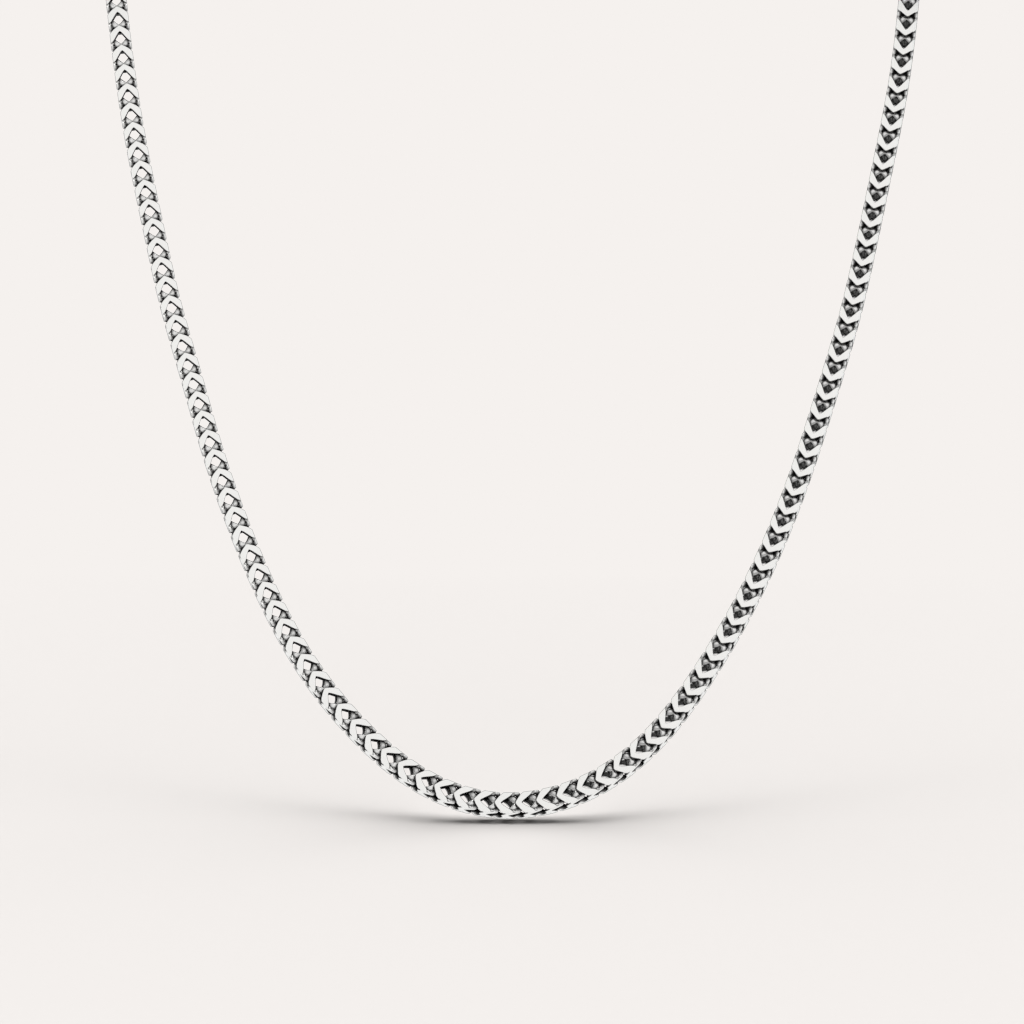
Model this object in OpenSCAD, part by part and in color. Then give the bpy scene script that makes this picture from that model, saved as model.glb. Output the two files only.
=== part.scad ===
/* [Chain] */
// Side of the chain's square section
side = 3; // [2.2:0.1:3.2]
// Bevel along the section's four edges
bevel = 0.45; // [0.2:0.05:0.8]
// Lean of the hanging front from the vertical, in degrees
lean = 19; // [12:1:24]

/* [Clasp] */
// Length of the closed clasp
clasp_l = 15; // [13:0.5:18]
// Diameter of the clasp's barrel
clasp_d = 5.4; // [5:0.1:6.4]
// Depth of the cup at each end that holds the chain
cup_deep = 1.8; // [1.2:0.1:2.4]
// Gap between the chain and the cup
gap = 0.15; // [0.1:0.05:0.3]

/* [Hidden] */

// The nape is the origin, and the front hangs in one leaning plane below it
front_y = -96;
lowest_z = -154;
// Above this height the chain leaves the front plane and turns over the shoulders
shoulder_z = -36;

// Front stretch from the left shoulder to the right one: across, up the leaning plane
FRONT = [
    [-58.5, 124], [-57, 112], [-55, 100], [-52.5, 88.5], [-50, 76.5],
    [-46.5, 65], [-43.5, 53.5], [-39.5, 42], [-35, 31], [-29.5, 20.5],
    [-22, 11], [-13, 3], [-1.5, -1], [11, 2], [20.5, 9.5],
    [27.5, 19.5], [33.5, 30], [38.5, 41], [42.5, 52], [46, 63.5],
    [49.5, 75], [52, 86.5], [54.5, 98.5], [57, 110.5], [58.5, 122]
];
// Back stretch from the right shoulder to the nape, the left one is its mirror image
BACK = [
    [59.5, -51.5, -28], [60, -44, -19], [59, -34.5, -12.5], [55.5, -24.5, -8],
    [49.5, -15.5, -5], [41.5, -8.5, -2.5], [32, -4, -1], [22, -1, 0], [11.5, 0, 0]
];

front_pts = [for (p = FRONT) [p[0], front_y + p[1] * sin(lean), lowest_z + p[1] * cos(lean)]];
left_pts = [for (i = [len(BACK) - 1:-1:0]) [-BACK[i][0], BACK[i][1], BACK[i][2]]];
ROUTE = concat([[0, 0, 0]], left_pts, front_pts, BACK);
spans = len(ROUTE);

// Closed cubic B-spline through the route, with u counted in spans from the nape
function route_at(u) =
    let (i = floor(u), w = u - i)
    (pow(1 - w, 3) * ROUTE[(i - 1 + spans) % spans]
        + (3 * pow(w, 3) - 6 * w * w + 4) * ROUTE[i % spans]
        + (-3 * pow(w, 3) + 3 * w * w + 3 * w + 1) * ROUTE[(i + 1) % spans]
        + pow(w, 3) * ROUTE[(i + 2) % spans]) / 6;

function unit(v) = v / norm(v);
function along(u) = unit(route_at(u + 0.01) - route_at(u - 0.01));

// The face that looks forward on the front stretch looks up at the nape
function face_tilt(z) =
    let (k = min(1, max(0, (z - shoulder_z) / -shoulder_z)))
    lean + (90 - lean) * k * k * (3 - 2 * k);
function face_dir(u) =
    let (t = along(u), a = face_tilt(route_at(u)[2]), ref = [0, -cos(a), sin(a)])
    unit(ref - (ref * t) * t);

// Where the route is this far from the nape, on the left half
function u_at(x, lo = 0, hi = 1, steps = 24) =
    let (mid = (lo + hi) / 2)
    steps == 0 ? mid
        : norm(route_at(mid)) < x ? u_at(x, mid, hi, steps - 1) : u_at(x, lo, mid, steps - 1);

// The chain ends inside the clasp's cups
chain_end = clasp_l / 2 - cup_deep + gap;
rings = 80;
u_first = u_at(chain_end);
u_step = (spans - 2 * u_first) / (rings - 1);

// Bevelled square, as across and outward steps from the route
half = side / 2;
flat = half - bevel;
SECTION = [
    [half, -flat], [half, flat], [flat, half], [-flat, half],
    [-half, flat], [-half, -flat], [-flat, -half], [flat, -half]
];
sides = len(SECTION);

function ring_at(u) =
    let (p = route_at(u), t = along(u), out = face_dir(u), across = cross(t, out))
    [for (s = SECTION) p + s[0] * across + s[1] * out];

// One swept tube with the chain's section, from cup to cup
module chain() {
    pts = [for (i = [0:rings - 1]) each ring_at(u_first + i * u_step)];
    skin = [
        for (i = [0:rings - 2], k = [0:sides - 1])
            let (a = i * sides + k, b = i * sides + (k + 1) % sides)
            each [[a, a + sides, b], [b, a + sides, b + sides]]
    ];
    first_end = [for (k = [0:sides - 1]) k];
    last_end = [for (k = [sides - 1:-1:0]) (rings - 1) * sides + k];
    color("silver") polyhedron(points = pts, faces = concat(skin, [first_end, last_end]));
}

// Barrel with a collar at each end and a narrow waist groove, closed for good
collar_w = 2.4;
collar_step = 0.35;
groove_w = 0.8;
groove_deep = 0.3;
edge = 0.4;
cup_d = 2 * norm([half, flat]) + 2 * gap;

module clasp() {
    r = clasp_d / 2;
    h = clasp_l / 2;
    side_up = [
        [0, 0], [r - groove_deep, 0], [r - groove_deep, groove_w / 2], [r, groove_w / 2 + groove_deep],
        [r, h - collar_w - collar_step], [r + collar_step, h - collar_w],
        [r + collar_step, h - edge], [r + collar_step - edge, h], [0, h]
    ];
    color("silver")
    difference() {
        rotate([0, 90, 0])
            for (flip = [0, 1])
                mirror([0, 0, flip]) rotate_extrude($fn = 64) polygon(side_up);
        for (way = [-1, 1])
            translate([way * (h - cup_deep / 2 + 0.5), 0, 0])
                rotate([0, 90, 0]) cylinder(d = cup_d, h = cup_deep + 1, center = true, $fn = 64);
    }
}

chain();
clasp();
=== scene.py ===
"""Silver necklace of four-sided V-link chain, hanging in front and carried at the nape."""

import math

import bmesh
import bpy
import numpy as np
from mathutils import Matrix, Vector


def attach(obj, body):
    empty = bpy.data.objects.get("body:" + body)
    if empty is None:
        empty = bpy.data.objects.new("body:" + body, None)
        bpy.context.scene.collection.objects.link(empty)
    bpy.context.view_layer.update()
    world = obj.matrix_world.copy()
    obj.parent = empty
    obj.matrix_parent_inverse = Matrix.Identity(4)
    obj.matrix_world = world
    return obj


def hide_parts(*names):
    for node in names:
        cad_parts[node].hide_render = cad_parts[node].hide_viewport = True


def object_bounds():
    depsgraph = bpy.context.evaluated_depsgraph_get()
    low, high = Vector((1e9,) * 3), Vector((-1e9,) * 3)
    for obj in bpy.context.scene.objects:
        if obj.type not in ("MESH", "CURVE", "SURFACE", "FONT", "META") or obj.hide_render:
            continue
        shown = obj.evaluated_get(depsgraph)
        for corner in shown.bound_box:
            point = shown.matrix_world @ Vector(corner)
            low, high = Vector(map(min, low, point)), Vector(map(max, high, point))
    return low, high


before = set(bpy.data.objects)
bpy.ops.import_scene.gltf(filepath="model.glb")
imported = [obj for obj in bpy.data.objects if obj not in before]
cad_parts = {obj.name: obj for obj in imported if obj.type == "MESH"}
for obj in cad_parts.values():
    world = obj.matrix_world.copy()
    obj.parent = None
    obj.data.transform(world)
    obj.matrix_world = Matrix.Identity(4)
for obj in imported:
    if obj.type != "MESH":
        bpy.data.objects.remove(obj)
CAD_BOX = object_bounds()

bl_info = {
    "name": "Oxidised Silver Chain Necklace",
    "version": (1, 0, 0),
    "blender": (4, 5, 0),
    "location": "View3D > Sidebar > Necklace",
    "description": "Builds a silver necklace of V links, its clasp and a pale studio",
    "category": "Add Mesh",
}

MM = 0.001

# Route of the chain, as in the part's source, in metres. The front's points lie across and
# up the plane that leans back, and the back's are places on the right half up to the nape.
LEAN = math.radians(19)
FRONT_Y = -0.096
LOWEST_Z = -0.154
SHOULDER_Z = -0.036
FRONT = (
    (-0.0585, 0.124), (-0.057, 0.112), (-0.055, 0.100), (-0.0525, 0.0885), (-0.050, 0.0765),
    (-0.0465, 0.065), (-0.0435, 0.0535), (-0.0395, 0.042), (-0.035, 0.031), (-0.0295, 0.0205),
    (-0.022, 0.011), (-0.013, 0.003), (-0.0015, -0.001), (0.011, 0.002), (0.0205, 0.0095),
    (0.0275, 0.0195), (0.0335, 0.030), (0.0385, 0.041), (0.0425, 0.052), (0.046, 0.0635),
    (0.0495, 0.075), (0.052, 0.0865), (0.0545, 0.0985), (0.057, 0.1105), (0.0585, 0.122),
)
BACK = (
    (0.0595, -0.0515, -0.028), (0.060, -0.044, -0.019), (0.059, -0.0345, -0.0125),
    (0.0555, -0.0245, -0.008), (0.0495, -0.0155, -0.005), (0.0415, -0.0085, -0.0025),
    (0.032, -0.004, -0.001), (0.022, -0.001, 0.0), (0.0115, 0.0, 0.0),
)

# A quarter of a link in sides of the chain, from the V's tip over the chain's edge and back
# under it to the fold across the core. A row has a point of the outer rim and a point of the
# inner rim, each outwards, across and along, and the share of the oxide that wear has taken
# off at each of the two.
FACE_LINK = (
    (0.455, 0.000, -0.160, 0.455, 0.000, 0.130, 1.0, 1.0),
    (0.455, 0.055, -0.134, 0.455, 0.025, 0.150, 1.0, 1.0),
    (0.455, 0.120, -0.092, 0.455, 0.075, 0.198, 1.0, 1.0),
    (0.455, 0.220, -0.025, 0.455, 0.135, 0.275, 1.0, 1.0),
    (0.455, 0.320, 0.052, 0.455, 0.190, 0.355, 1.0, 1.0),
    (0.455, 0.410, 0.145, 0.455, 0.245, 0.440, 1.0, 1.0),
    (0.455, 0.490, 0.252, 0.455, 0.300, 0.522, 1.0, 1.0),
    (0.455, 0.555, 0.335, 0.455, 0.350, 0.598, 1.0, 1.0),
    (0.425, 0.590, 0.385, 0.455, 0.405, 0.670, 0.8, 1.0),
    (0.360, 0.570, 0.410, 0.452, 0.455, 0.732, 0.4, 1.0),
    (0.310, 0.490, 0.430, 0.425, 0.488, 0.742, 0.1, 0.4),
    (0.287, 0.405, 0.458, 0.375, 0.462, 0.718, 0.0, 0.0),
    (0.280, 0.330, 0.500, 0.335, 0.418, 0.708, 0.0, 0.0),
    (0.278, 0.265, 0.560, 0.310, 0.385, 0.730, 0.3, 0.1),
    (0.278, 0.205, 0.630, 0.298, 0.365, 0.775, 0.8, 0.35),
    (0.278, 0.145, 0.695, 0.292, 0.348, 0.830, 1.0, 0.55),
    (0.278, 0.080, 0.750, 0.288, 0.328, 0.882, 1.0, 0.7),
    (0.278, 0.015, 0.800, 0.285, 0.305, 0.925, 1.0, 0.8),
    (0.260, -0.020, 0.865, 0.265, 0.285, 0.950, 1.0, 0.8),
    (0.165, -0.020, 0.930, 0.165, 0.272, 0.960, 0.8, 0.5),
    (0.000, -0.020, 0.950, 0.000, 0.270, 0.960, 0.8, 0.4),
)
SIDE_LINK = (
    (0.455, 0.000, -0.160, 0.455, 0.000, 0.130, 1.0, 1.0),
    (0.455, 0.055, -0.134, 0.455, 0.025, 0.150, 1.0, 1.0),
    (0.455, 0.120, -0.092, 0.455, 0.075, 0.195, 1.0, 1.0),
    (0.455, 0.220, -0.025, 0.455, 0.135, 0.262, 1.0, 1.0),
    (0.455, 0.320, 0.052, 0.455, 0.195, 0.330, 1.0, 1.0),
    (0.455, 0.400, 0.140, 0.455, 0.255, 0.395, 1.0, 1.0),
    (0.455, 0.450, 0.230, 0.455, 0.315, 0.455, 1.0, 1.0),
    (0.445, 0.465, 0.300, 0.452, 0.370, 0.510, 1.0, 1.0),
    (0.405, 0.455, 0.345, 0.438, 0.405, 0.550, 0.8, 0.7),
    (0.352, 0.432, 0.385, 0.405, 0.420, 0.578, 0.1, 0.1),
    (0.305, 0.400, 0.420, 0.362, 0.415, 0.600, 0.0, 0.0),
    (0.280, 0.350, 0.455, 0.325, 0.398, 0.625, 0.0, 0.0),
    (0.268, 0.285, 0.500, 0.298, 0.368, 0.655, 0.0, 0.0),
    (0.258, 0.215, 0.550, 0.275, 0.330, 0.680, 0.0, 0.0),
    (0.240, 0.145, 0.600, 0.250, 0.300, 0.692, 0.0, 0.0),
    (0.205, 0.080, 0.640, 0.210, 0.282, 0.690, 0.0, 0.0),
    (0.150, 0.030, 0.660, 0.150, 0.273, 0.678, 0.0, 0.0),
    (0.080, 0.005, 0.668, 0.080, 0.270, 0.670, 0.0, 0.0),
    (0.000, 0.000, 0.668, 0.000, 0.270, 0.668, 0.0, 0.0),
)
# The wire's flattened section, as shares of its half width and of its half thickness
SECTION = (
    (1.0, -0.40), (1.0, 0.40), (0.88, 0.94), (0.32, 1.0), (-0.32, 1.0), (-0.88, 0.94),
    (-1.0, 0.40), (-1.0, -0.40), (-0.88, -0.94), (-0.32, -1.0), (0.32, -1.0), (0.88, -0.94),
)

# The camera, which looks level at the front of the chain
CAMERA_PLACE = (0.0, -1.246, -0.1119)
CAMERA_LENS = 283.0
CAMERA_SENSOR = 36.0
CAMERA_NEAR, CAMERA_FAR = 0.05, 50.0

# The paper under the chain, which rises away from the camera
FLOOR_TILT = math.radians(12)
FLOOR_GAP = 0.55 * MM
FLOOR_HALF = 6.0
PAPER = (0.8, 0.78, 0.76, 1.0)

# Soft lights: name, place, width and height, power
LIGHTS = (
    ("key_softbox", (0.0, -0.95, 0.62), (0.9, 0.6), 1.1),
    ("top_softbox", (0.0, 0.1, 0.9), (1.0, 0.8), 2.5),
)
FLOOR_LIGHT = ("floor_softbox", (0.0, 0.263, 0.885), (1.8, 1.8), 160.0)
LIGHT_AIM = (0.0, -0.07, -0.09)

# How bright the surround is by direction: axis, where it starts and ends, least and most
SURROUND = (("Y", -0.55, 0.25, 0.34, 0.95), ("Z", -0.15, -0.5, 0.0, 0.6))

# Half of the chain's side, in sides, where the links are filed flat
FACE = 0.5
ON_FACE = 0.4999

# Steps round a link's wire
LINK_POINTS = 96

# Where the links start to close up and where they are closed, as distances from the nape
SLACK_FROM, SLACK_TO = 0.240, 0.268

# Wear and painted sheen: how far the core reaches from the centre, how much painted sheen
# the folds in it get where they face back along the chain, and how far a surface faces outwards
# where the oxide starts to go and where it is gone
CORE = 0.2
FOLD_SHEEN = 0.1
OXIDE_STAYS, OXIDE_GONE = -0.3, 0.5

# The clasp's cups and the gap between a cup's bottom and the chain
CUP_DEPTH = 1.8 * MM
END_GAP = 0.15 * MM
# How far the Vs of the end links stay back from there, in sides of the chain
FIRST_BACK, LAST_BACK = 0.3, 1.2

# Sides round the clasp and the least angle of its sharp edges
CLASP_SIDES = 96
CLASP_CREASE = math.radians(50)

# Numbers of the Mix node's sockets for its factor, its two colours and its result
MIX_FACTOR, MIX_LOW, MIX_HIGH, MIX_RESULT = 0, 6, 7, 2


def smooth_share(value, low, high):
    """0 below low, 1 above high and smooth between."""
    share = np.clip((value - low) / (high - low), 0, 1)
    return share * share * (3 - 2 * share)


def smooth_route(samples_per_span=40):
    """Points of the closed B-spline along the route and their distances along it."""
    front = [
        (x, FRONT_Y + up * math.sin(LEAN), LOWEST_Z + up * math.cos(LEAN)) for x, up in FRONT
    ]
    left = [(-x, y, z) for x, y, z in reversed(BACK)]
    knots = np.array([(0.0, 0.0, 0.0), *left, *front, *BACK])
    w = (np.arange(samples_per_span) / samples_per_span)[:, None]
    weights = (
        (1 - w) ** 3,
        3 * w ** 3 - 6 * w ** 2 + 4,
        -3 * w ** 3 + 3 * w ** 2 + 3 * w + 1,
        w ** 3,
    )
    spans = [
        sum(weight * knots[(i + k - 1) % len(knots)] for k, weight in enumerate(weights)) / 6
        for i in range(len(knots))
    ]
    points = np.concatenate([*spans, spans[0][:1]])
    return points, distances(points)


def distances(points):
    """How far along its line each point is."""
    steps = np.linalg.norm(np.diff(points, axis=0), axis=1)
    return np.concatenate([[0.0], np.cumsum(steps)])


def unit(v):
    """Vectors of length one in the same directions."""
    return v / np.linalg.norm(v, axis=-1, keepdims=True)


class Route:
    """The chain's centre line with its outward and sideways directions at any distance."""

    def __init__(self):
        points, self.far = smooth_route()
        self.points = points
        self.length = self.far[-1]
        along = unit(np.roll(points[:-1], -1, axis=0) - np.roll(points[:-1], 1, axis=0))
        along = np.concatenate([along, along[:1]])
        tilt = LEAN + (math.pi / 2 - LEAN) * smooth_share(points[:, 2], SHOULDER_Z, 0)
        ref = np.stack([np.zeros_like(tilt), -np.cos(tilt), np.sin(tilt)], axis=1)
        self.out = unit(ref - (ref * along).sum(axis=1, keepdims=True) * along)
        self.side = np.cross(along, self.out)

    def place(self, outward, sideways, far):
        """World points for local ones, carried along the bend of the route."""
        def read(table):
            return np.stack([np.interp(far, self.far, column) for column in table.T], axis=-1)
        return (
            read(self.points)
            + read(self.out) * outward[:, None]
            + read(self.side) * sideways[:, None]
        )


def closed_curve(rows, count, steps=12):
    """Rows spaced evenly on a closed smooth curve through rows that start with two rims' points."""
    w = np.linspace(0, 1, steps, endpoint=False)[:, None]
    spans = []
    for i, here in enumerate(rows):
        before, after, beyond = (rows[(i + k) % len(rows)] for k in (-1, 1, 2))
        spans.append(0.5 * (
            2 * here
            + (after - before) * w
            + (2 * before - 5 * here + 4 * after - beyond) * w ** 2
            + (3 * here - before - 3 * after + beyond) * w ** 3
        ))
    loop = np.concatenate([*spans, spans[0][:1]])
    far = distances((loop[:, :3] + loop[:, 3:6]) / 2)
    at = np.linspace(0, far[-1], count, endpoint=False)
    return np.stack([np.interp(at, far, column) for column in loop.T], axis=1)


def link_wire(quarter, thick, count):
    """Rings of points round a whole link and the share of the oxide that is off each one, with a
    painted sheen added on the folds in the core.
    """
    # A quarter is run there and back, and its signs change for the link's face on the other
    # side of the chain and for the V's other arm
    there = np.array(quarter)
    home = there[::-1]
    behind = np.array((-1, 1, 1, -1, 1, 1, 1, 1))
    mirrored = np.array((1, -1, 1, 1, -1, 1, 1, 1))
    rims = closed_curve(np.concatenate([
        there, home[1:] * behind, there[1:] * behind * mirrored, home[1:-1] * mirrored,
    ]), count)
    middle, across = (rims[:, :3] + rims[:, 3:6]) / 2, (rims[:, :3] - rims[:, 3:6]) / 2
    along = unit(np.roll(middle, -1, axis=0) - np.roll(middle, 1, axis=0))
    normal = unit(np.cross(across, along))
    wide, deep = np.array(SECTION).T
    rings = (
        middle[:, None]
        + across[:, None] * wide[:, None]
        + thick * normal[:, None] * deep[:, None]
    )
    # The oxide is worn off where the wire's surface faces out of the chain
    leans = unit(unit(across)[:, None] * wide[:, None] ** 3 + normal[:, None] * deep[:, None])
    radial = np.where(
        (abs(rings[..., 0]) > abs(rings[..., 1]))[..., None],
        np.sign(rings[..., :1]) * (1, 0, 0), np.sign(rings[..., 1:2]) * (0, 1, 0),
    )
    facing = (leans * radial).sum(axis=-1)
    # In the core, the folds' sides that face back along the chain lose oxide as well. This paints a
    # sheen on them, which is not wear.
    in_core = abs(rings[..., 0]) < CORE
    facing = np.where(in_core, np.maximum(facing, -FOLD_SHEEN * leans[..., 2]), facing)
    oxide_off_and_sheen = np.clip((facing - OXIDE_STAYS) / (OXIDE_GONE - OXIDE_STAYS), 0, 1)
    worn = (rims[:, 6:7] * (1 + wide) + rims[:, 7:8] * (1 - wide)) / 2 * oxide_off_and_sheen
    return rings.reshape(-1, 3), worn.ravel()


def ring_quads(count, sides):
    """Quads over a closed row of closed rings."""
    i, k = np.meshgrid(np.arange(count), np.arange(sides), indexing="ij")
    here, ahead = i * sides, (i + 1) % count * sides
    beside = (k + 1) % sides
    quads = np.stack([here + k, here + beside, ahead + beside, ahead + k], axis=-1)
    return quads.reshape(-1, 4)


def filed_link(rings, worn, count):
    """A link cut flat on the chain's four faces: points, their wear with the painted sheen on the
    core's folds, triangles and their plane.

    The plane is 1 on the faces across the first direction, 2 on those across the second and
    0 on the rest of the wire.
    """
    link = bmesh.new()
    wear = link.verts.layers.float.new("worn")
    points = [link.verts.new(point) for point in rings]
    for point, value in zip(points, worn):
        point[wear] = value
    for quad in ring_quads(count, len(SECTION)):
        link.faces.new([points[i] for i in quad])
    for normal in ((1, 0, 0), (-1, 0, 0), (0, 1, 0), (0, -1, 0)):
        cut = bmesh.ops.bisect_plane(
            link, geom=[*link.verts, *link.edges, *link.faces],
            plane_co=[FACE * part for part in normal], plane_no=normal, clear_outer=True,
        )
        rim = [part for part in cut["geom_cut"] if isinstance(part, bmesh.types.BMEdge)]
        bmesh.ops.triangle_fill(link, edges=rim, use_beauty=True, normal=normal)
    bmesh.ops.triangulate(link, faces=link.faces[:])
    bmesh.ops.recalc_face_normals(link, faces=link.faces[:])
    link.verts.index_update()
    places = np.array([point.co[:] for point in link.verts])
    wears = np.array([point[wear] for point in link.verts])
    faces = np.array([[point.index for point in face.verts] for face in link.faces])
    if not all(edge.is_manifold for edge in link.edges):
        raise RuntimeError("a filed link is not closed")
    link.free()
    on_plane = abs(places[:, :2])[faces].min(axis=1) > ON_FACE
    return places, wears, faces, np.where(on_plane[:, 0], 1, np.where(on_plane[:, 1], 2, 0))


def mesh_object(name, verts, faces, **values):
    """A smooth-shaded object from arrays, with named values on its points."""
    mesh = bpy.data.meshes.new(name)
    mesh.vertices.add(len(verts))
    mesh.vertices.foreach_set("co", np.asarray(verts, dtype=np.float32).ravel())
    mesh.loops.add(faces.size)
    mesh.loops.foreach_set("vertex_index", faces.astype(np.int32).ravel())
    mesh.polygons.add(len(faces))
    starts = np.arange(0, faces.size, faces.shape[1], dtype=np.int32)
    mesh.polygons.foreach_set("loop_start", starts)
    mesh.update(calc_edges=True)
    mesh.validate()
    for key, value in values.items():
        layer = mesh.attributes.new(key, "FLOAT", "POINT")
        layer.data.foreach_set("value", np.asarray(value, dtype=np.float32))
    mesh.shade_smooth()
    obj = bpy.data.objects.new(name, mesh)
    bpy.context.scene.collection.objects.link(obj)
    return obj


def mark_rims(mesh, planes):
    """Makes the edges sharp between triangles on different planes."""
    edge_of = np.empty(len(mesh.loops), dtype=np.int32)
    mesh.loops.foreach_get("edge_index", edge_of)
    plane = np.repeat(planes, 3)
    least = np.full(len(mesh.edges), planes.max())
    most = np.zeros(len(mesh.edges), dtype=int)
    np.minimum.at(least, edge_of, plane)
    np.maximum.at(most, edge_of, plane)
    mark = mesh.attributes.new("sharp_edge", "BOOLEAN", "EDGE")
    mark.data.foreach_set("value", least < most)


class Val:
    """A shader socket that takes part in arithmetic."""

    def __init__(self, shader, socket):
        self.shader, self.socket = shader, socket

    def math(self, operation, first, second):
        """One Math node on two sockets or numbers."""
        return self.shader.node("ShaderNodeMath", {"operation": operation}, (first, second))

    def __add__(self, other):
        return self.math("ADD", self, other)

    def __radd__(self, other):
        return self.math("ADD", other, self)

    def __sub__(self, other):
        return self.math("SUBTRACT", self, other)

    def __rsub__(self, other):
        return self.math("SUBTRACT", other, self)

    def __mul__(self, other):
        return self.math("MULTIPLY", self, other)

    def __rmul__(self, other):
        return self.math("MULTIPLY", other, self)

    def step(self, low, high):
        """0 below low, 1 above high and smooth between."""
        return self.shader.node(
            "ShaderNodeMapRange", {"interpolation_type": "SMOOTHSTEP"},
            {"Value": self, "From Min": low, "From Max": high},
        )


class Shader:
    """Adds nodes to the tree of a material or of the world."""

    def __init__(self, owner):
        owner.use_nodes = True
        self.owner = owner
        self.nodes, self.links = owner.node_tree.nodes, owner.node_tree.links

    def node(self, kind, settings=None, values=(), out=0):
        """Adds a node, makes its settings, fills its sockets and returns one output."""
        made = self.nodes.new(kind)
        for key, value in (settings or {}).items():
            setattr(made, key, value)
        pairs = values.items() if isinstance(values, dict) else enumerate(values)
        for key, value in pairs:
            self.feed(made.inputs[key], value)
        return Val(self, made.outputs[out])

    def feed(self, socket, value):
        """Links a value to a socket, or sets the socket to a number or colour."""
        if isinstance(value, Val):
            self.links.new(value.socket, socket)
        else:
            socket.default_value = value

    def mix(self, factor, low, high):
        """Colour between two others."""
        return self.node(
            "ShaderNodeMix", {"data_type": "RGBA"},
            {MIX_FACTOR: factor, MIX_LOW: low, MIX_HIGH: high}, out=MIX_RESULT,
        )

    def noise(self, scale, detail=2.0, stretch=None):
        """Cloudy value from 0 to 1, with its number of patches to the metre."""
        place = self.node("ShaderNodeTexCoord", out="Object")
        if stretch:
            place = self.node("ShaderNodeMapping", values={"Vector": place, "Scale": stretch})
        return self.node(
            "ShaderNodeTexNoise", values={"Vector": place, "Scale": scale, "Detail": detail},
            out="Fac",
        )

    def value(self, name):
        """A value that the mesh carries on its points."""
        return self.node("ShaderNodeAttribute", {"attribute_name": name}, out="Fac")

    def bump(self, height, strength, distance):
        """Normals tilted by a height, with its full distance in metres."""
        return self.node(
            "ShaderNodeBump",
            values={"Strength": strength, "Distance": distance, "Height": height}, out="Normal",
        )

    def principled(self, **sockets):
        """Feeds the surface's sockets and returns the material."""
        surface = self.nodes["Principled BSDF"]
        for key, value in sockets.items():
            self.feed(surface.inputs[key.replace("_", " ")], value)
        return self.owner


def chain_silver(settings):
    """Bright planed silver with oxide left in the recesses and a painted sheen on the folds in the
    core.
    """
    s = Shader(bpy.data.materials.new("oxidised_silver"))
    worn, planed = s.value("worn"), s.value("planed")
    smoke = s.noise(scale=1500.0)
    scratch = s.noise(scale=5200.0)
    # The worn value holds the rubbed-off oxide and the painted sheen on the core's folds. Both take
    # the rubbed silver colour.
    rubbed = (worn + (smoke - 0.5) * 0.12).step(0.05, 0.95)
    recess = s.mix(rubbed, (*settings.oxide, 1.0), (*settings.grey, 1.0))
    return s.principled(
        Base_Color=s.mix(planed.step(0.3, 0.9), recess, (*settings.silver, 1.0)),
        Metallic=1.0,
        Roughness=0.46 - rubbed * 0.14 - planed * 0.12 + (scratch - 0.5) * 0.06,
        Normal=s.bump(scratch, strength=0.03, distance=0.004 * MM),
    )


def clasp_silver(settings):
    """Polished silver with darkened grooves and fine hair lines along the barrel."""
    s = Shader(bpy.data.materials.new("polished_silver"))
    smoke = s.noise(scale=700.0, detail=3.0)
    hair = s.noise(scale=1500.0, stretch=(0.15, 1.0, 1.0))
    polish = (s.value("worn") + (smoke - 0.5) * 0.2).step(0.3, 0.8)
    return s.principled(
        Base_Color=s.mix(polish, (*settings.oxide, 1.0), (*settings.silver, 1.0)),
        Metallic=1.0,
        Roughness=0.36 - polish * 0.2 + (hair - 0.5) * 0.12,
        Normal=s.bump(hair, strength=0.1, distance=0.02 * MM),
    )


class NecklaceSettings(bpy.types.PropertyGroup):
    """Sizes and colours that a user would change."""

    side: bpy.props.FloatProperty(
        name="Chain Side", description="Side of the chain's square section",
        default=0.003, unit="LENGTH",
    )
    pitch: bpy.props.FloatProperty(
        name="Link Pitch", description="Distance from one V to the next on a face",
        default=0.003087, precision=6, unit="LENGTH",
    )
    first: bpy.props.FloatProperty(
        name="First Link", description="Distance from the nape to a V, which sets all the others",
        default=0.110095, precision=6, unit="LENGTH",
    )
    wire: bpy.props.FloatProperty(
        name="Wire", description="Half of the wire's thickness, in sides of the chain",
        default=0.088, subtype="FACTOR",
    )
    cant: bpy.props.FloatProperty(
        name="Cant", description="How far a link's front runs ahead of its back, per depth",
        default=0.320, subtype="FACTOR",
    )
    slack: bpy.props.FloatProperty(
        name="Slack", description="How far the links close up round the chain's lowest point",
        default=0.00066, precision=6, unit="LENGTH",
    )
    clasp_length: bpy.props.FloatProperty(
        name="Clasp Length", description="Length of the closed clasp",
        default=0.015, unit="LENGTH",
    )
    clasp_width: bpy.props.FloatProperty(
        name="Clasp Width", description="Diameter of the clasp's barrel",
        default=0.0054, unit="LENGTH",
    )
    silver: bpy.props.FloatVectorProperty(
        name="Silver", description="Colour of the planed and polished silver",
        default=(0.90, 0.89, 0.87), subtype="COLOR", min=0.0, max=1.0,
    )
    # On the chain this colour also shows the painted sheen on the folds in the core.
    grey: bpy.props.FloatVectorProperty(
        name="Rubbed Silver", description="Colour of unplaned silver where the oxide is rubbed off",
        default=(0.95, 0.94, 0.925), subtype="COLOR", min=0.0, max=1.0,
    )
    oxide: bpy.props.FloatVectorProperty(
        name="Oxide", description="Colour of the blackened recesses",
        default=(0.010, 0.0095, 0.0095), subtype="COLOR", min=0.0, max=1.0,
    )
    backdrop: bpy.props.FloatVectorProperty(
        name="Backdrop", description="Colour of the studio behind the necklace",
        default=(0.913, 0.880, 0.855), subtype="COLOR", min=0.0, max=1.0,
    )


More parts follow.
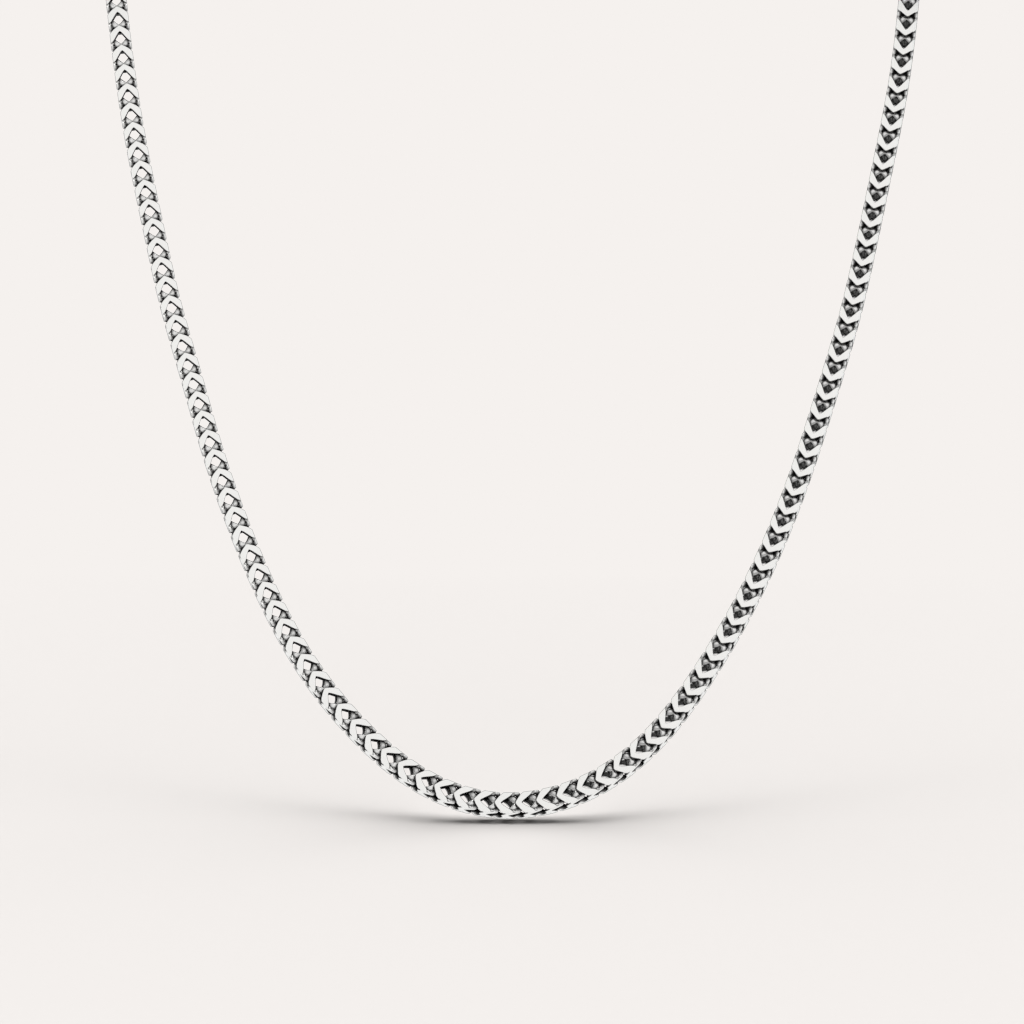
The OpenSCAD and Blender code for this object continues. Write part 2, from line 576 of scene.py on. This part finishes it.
def row_of_links(name, quarter, settings, route, offset, turned, low, high):
    """Joins the links of one family whose Vs start between two distances from the nape."""
    side, pitch = settings.side, settings.pitch
    # The worn values hold the rubbed-off oxide and the painted sheen on the folds in the core.
    rings, wear = link_wire(quarter, settings.wire, LINK_POINTS)
    places, worn, triangles, planes = filed_link(rings, wear, LINK_POINTS)
    outward, sideways = (places[:, 1], places[:, 0]) if turned else (places[:, 0], places[:, 1])
    along = places[:, 2] + settings.cant * outward
    if turned:
        # The swapped directions mirror the link, so its triangles are wound the other way
        triangles = triangles[:, ::-1]
    start = settings.first + offset * pitch
    first = math.ceil((low - start) / pitch)
    last = math.floor((high - start) / pitch)
    verts, faces = [], []
    for k in range(first, last + 1):
        at = start + k * pitch
        at -= settings.slack * smooth_share(at, SLACK_FROM, SLACK_TO)
        verts.append(route.place(outward * side, sideways * side, at + along * side))
        faces.append(triangles + len(faces) * len(places))
    planed = np.zeros(len(places))
    bright = planes == 1 if turned else planes > 0
    planed[triangles[bright].ravel()] = 1
    count = len(verts)
    row = mesh_object(
        name, np.concatenate(verts), np.concatenate(faces),
        worn=np.tile(worn, count), planed=np.tile(planed, count),
    )
    mark_rims(row.data, np.tile(planes, count))
    return row


class NECKLACE_OT_chain(bpy.types.Operator):
    """Builds the chain's links in four rows, the left and the right half of each family"""

    bl_idname = "necklace.chain"
    bl_label = "Build Chain"

    def execute(self, context):
        settings = context.scene.necklace
        route = Route()
        material = chain_silver(settings)
        end = settings.clasp_length / 2 - CUP_DEPTH + END_GAP
        low = end + FIRST_BACK * settings.side
        high = route.length - end - LAST_BACK * settings.side
        middle = route.length / 2
        rows = (
            ("face_links_left", FACE_LINK, 0.0, False, low, middle),
            ("face_links_right", FACE_LINK, 0.0, False, middle, high),
            ("side_links_left", SIDE_LINK, 0.5, True, low, middle),
            ("side_links_right", SIDE_LINK, 0.5, True, middle, high),
        )
        for name, quarter, offset, turned, start, stop in rows:
            row = row_of_links(name, quarter, settings, route, offset, turned, start, stop)
            row.data.materials.append(material)
            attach(row, "root")
            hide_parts("chain")
        return {"FINISHED"}


class NECKLACE_OT_clasp(bpy.types.Operator):
    """Builds the barrel clasp at the nape"""

    bl_idname = "necklace.clasp"
    bl_label = "Build Clasp"

    def execute(self, context):
        settings = context.scene.necklace
        profile = clasp_profile(settings.clasp_length / 2, settings.clasp_width / 2)
        along, radius, worn = profile.T
        turn = np.arange(CLASP_SIDES) * 2 * math.pi / CLASP_SIDES
        verts = np.stack([
            np.repeat(along, CLASP_SIDES),
            np.outer(radius, np.cos(turn)).ravel(),
            np.outer(radius, np.sin(turn)).ravel(),
        ], axis=1)
        quads = ring_quads(len(profile), CLASP_SIDES)
        barrel = mesh_object("clasp_barrel", verts, quads, worn=np.repeat(worn, CLASP_SIDES))
        barrel.data.set_sharp_from_angle(angle=CLASP_CREASE)
        barrel.data.materials.append(clasp_silver(settings))
        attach(barrel, "root")
        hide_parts("clasp")
        return {"FINISHED"}


def clasp_profile(half, r):
    """Closed outline of the clasp's wall: along, radius and how far the polish reaches."""
    groove, groove_depth = 0.8 * MM, 0.3 * MM
    collar, rise, edge = 2.4 * MM, 0.35 * MM, 0.4 * MM
    cup, lip, core = 1.98 * MM, 0.12 * MM, 0.3 * MM
    right = np.array([
        (0.0, r - groove_depth, 0.1),
        (groove / 2, r - groove_depth, 0.1),
        (groove / 2 + groove_depth * 0.9, r - groove_depth * 0.1, 0.7),
        (groove / 2 + groove_depth * 1.3, r, 1.0),
        (half - collar - rise * 1.5, r, 1.0),
        (half - collar - rise, r, 0.35),
        (half - collar - rise * 0.4, r + rise * 0.7, 0.8),
        (half - collar, r + rise, 1.0),
        (half - edge, r + rise, 1.0),
        (half - edge * 0.3, r + rise - edge * 0.3, 1.0),
        (half, r + rise - edge, 1.0),
        (half, cup + lip, 1.0),
        (half - lip, cup, 0.8),
        (half - CUP_DEPTH, cup, 0.0),
        (half - CUP_DEPTH, core, 0.0),
    ])
    left = right[::-1][:-1] * (-1, 1, 1)
    return np.concatenate([right, left])


def paper_floor():
    """The sloped paper under the chain, which shows only the shadow on it."""
    rise = math.tan(FLOOR_TILT)
    near, far = (
        CAD_BOX[0].z - FLOOR_GAP + rise * (y - FRONT_Y) for y in (-FLOOR_HALF, FLOOR_HALF)
    )
    corners = np.array([
        (-FLOOR_HALF, -FLOOR_HALF, near), (FLOOR_HALF, -FLOOR_HALF, near),
        (FLOOR_HALF, FLOOR_HALF, far), (-FLOOR_HALF, FLOOR_HALF, far),
    ])
    floor = mesh_object("floor", corners, np.array([(0, 1, 2, 3)]))
    paper = Shader(bpy.data.materials.new("floor_paper"))
    floor.data.materials.append(paper.principled(Base_Color=PAPER, Roughness=0.9))
    floor.is_shadow_catcher = True
    floor.visible_glossy = False
    return floor


def softbox(scene, name, place, extent, power):
    """A rectangular lamp that is turned towards the necklace."""
    light = bpy.data.lights.new(name, "AREA")
    light.shape, light.energy = "RECTANGLE", power
    light.size, light.size_y = extent
    lamp = bpy.data.objects.new(name, light)
    lamp.location = place
    aim = unit(np.array(LIGHT_AIM) - np.array(place))
    lamp.rotation_euler = (math.acos(-aim[2]), 0.0, math.atan2(aim[1], aim[0]) - math.pi / 2)
    scene.collection.objects.link(lamp)
    return lamp


def studio_world(scene):
    """The backdrop that the camera sees and the surround that the silver reflects."""
    scene.world = bpy.data.worlds.new("studio")
    s = Shader(scene.world)
    seen = s.nodes["Background"]
    s.feed(seen.inputs["Color"], (*scene.necklace.backdrop, 1.0))
    direction = s.node("ShaderNodeTexCoord", out="Generated")
    shares = [
        s.node("ShaderNodeMapRange", {"interpolation_type": "SMOOTHSTEP"}, {
            "Value": s.node("ShaderNodeSeparateXYZ", values=[direction], out=axis),
            "From Min": starts, "From Max": ends, "To Min": least, "To Max": most,
        })
        for axis, starts, ends, least, most in SURROUND
    ]
    brighter = s.node("ShaderNodeMath", {"operation": "MAXIMUM"}, shares)
    around = s.node("ShaderNodeBackground", values={"Color": brighter})
    by_camera = s.node("ShaderNodeLightPath", out="Is Camera Ray")
    both = s.node("ShaderNodeMixShader", values=[by_camera, around, Val(s, seen.outputs[0])])
    s.feed(s.nodes["World Output"].inputs["Surface"], both)


class NECKLACE_OT_stage(bpy.types.Operator):
    """Makes the floor, the lights, the backdrop and the camera"""

    bl_idname = "necklace.stage"
    bl_label = "Build Stage"

    def execute(self, context):
        scene = context.scene
        scene.view_settings.view_transform = "Standard"
        studio_world(scene)
        floor = paper_floor()
        for light in LIGHTS:
            softbox(scene, *light)
        only_floor = bpy.data.collections.new("only_floor")
        only_floor.objects.link(floor)
        overhead = softbox(scene, *FLOOR_LIGHT)
        overhead.light_linking.receiver_collection = only_floor
        camera = bpy.data.cameras.new("camera")
        camera.lens, camera.sensor_width = CAMERA_LENS, CAMERA_SENSOR
        camera.clip_start, camera.clip_end = CAMERA_NEAR, CAMERA_FAR
        holder = bpy.data.objects.new("camera", camera)
        holder.location = CAMERA_PLACE
        holder.rotation_euler = (math.pi / 2, 0.0, 0.0)
        scene.collection.objects.link(holder)
        scene.camera = holder
        return {"FINISHED"}


class NECKLACE_PT_panel(bpy.types.Panel):
    """Lists the necklace's settings and build steps"""

    bl_idname = "NECKLACE_PT_panel"
    bl_label = "Necklace"
    bl_space_type = "VIEW_3D"
    bl_region_type = "UI"
    bl_category = "Necklace"

    def draw(self, context):
        for name in NecklaceSettings.__annotations__:
            self.layout.prop(context.scene.necklace, name)
        for step in STEPS:
            self.layout.operator(step.bl_idname)


STEPS = (NECKLACE_OT_chain, NECKLACE_OT_clasp, NECKLACE_OT_stage)
CLASSES = (NecklaceSettings, *STEPS, NECKLACE_PT_panel)


def register():
    for cls in CLASSES:
        bpy.utils.register_class(cls)
    bpy.types.Scene.necklace = bpy.props.PointerProperty(type=NecklaceSettings)


def unregister():
    del bpy.types.Scene.necklace
    for cls in reversed(CLASSES):
        bpy.utils.unregister_class(cls)


def main():
    register()
    bpy.ops.necklace.chain()
    bpy.ops.necklace.clasp()
    bpy.ops.necklace.stage()


if __name__ == "__main__":
    main()
